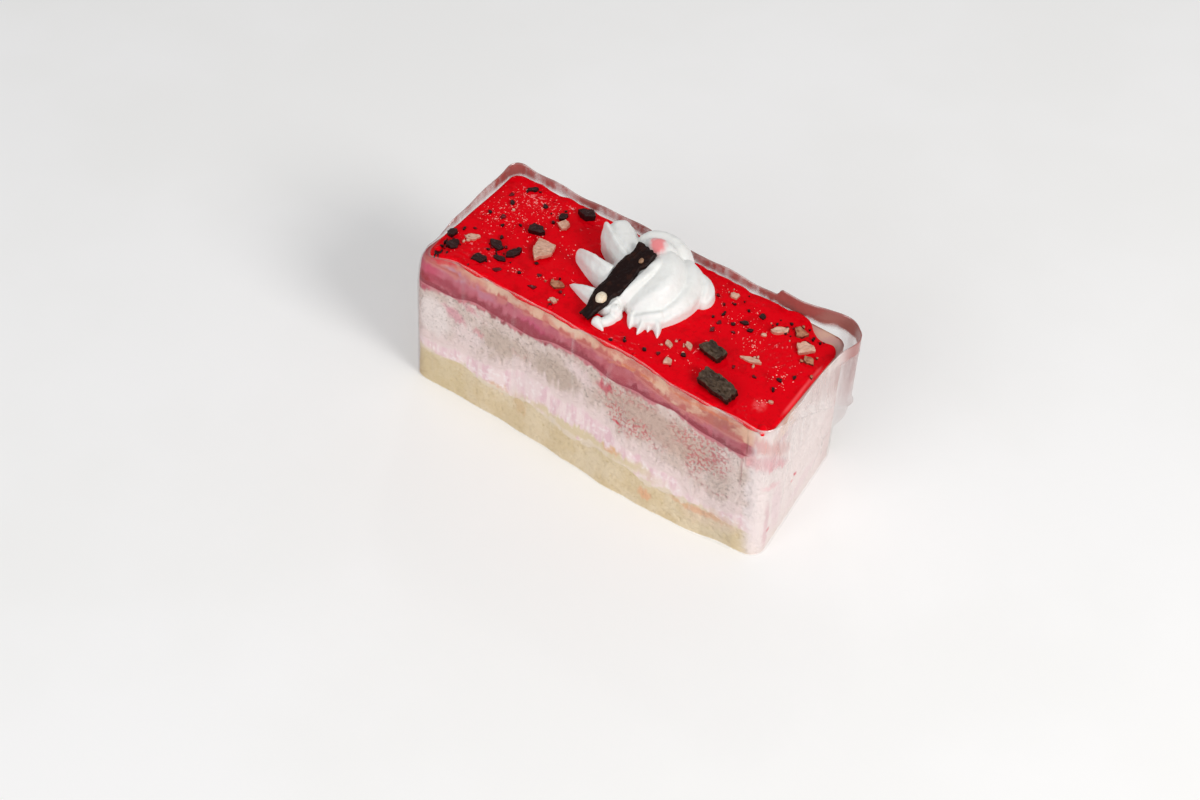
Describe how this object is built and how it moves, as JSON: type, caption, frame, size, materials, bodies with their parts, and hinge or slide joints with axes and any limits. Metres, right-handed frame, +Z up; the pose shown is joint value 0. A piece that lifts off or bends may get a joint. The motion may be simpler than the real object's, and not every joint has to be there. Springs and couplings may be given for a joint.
{
  "type": "strawberry pastry cake",
  "caption": "Layered strawberry pastry bar in a clear film strip, with red gel, flakes, a whipped cream rosette and a chocolate stick.",
  "frame": {"origin": "middle of the flat resting face, under the centre of the whole object's box", "axes": "+X along the long side towards the lower right end, +Z up, the long side with the film's free end faces -Y"},
  "size_m": [0.1178, 0.054, 0.0589],
  "materials": {
    "yellow_sponge": "moist fine-pored sponge cake",
    "pink_cream": "smooth soft cream with pink smears",
    "grey_sponge": "porous sponge cake speckled with syrup",
    "berry_mousse": "smooth mauve berry mousse",
    "beige_cream": "smooth beige cream",
    "red_gel": "glossy red fruit gel",
    "whipped_cream": "satin whipped cream",
    "chocolate": "rough dark chocolate",
    "almond": "pale nut flake",
    "clear_film": "clear glossy plastic film with creases"
  },
  "bodies": {
    "root": {"sponge_base": "yellow_sponge", "cream_lower": "pink_cream", "sponge_middle": "grey_sponge", "berry_band": "berry_mousse", "cream_top": "beige_cream", "strawberry_gel": "red_gel", "cream_rosette": "whipped_cream", "chocolate_stick": "chocolate", "chocolate_shard_front": "chocolate", "chocolate_shard_right": "chocolate", "chocolate_shard_back": "chocolate", "chocolate_shard_left": "chocolate", "almond_flake_left": "almond", "almond_flake_back": "almond", "almond_flake_right": "almond", "film_wrap": "clear_film"}
  },
  "joints": []
}
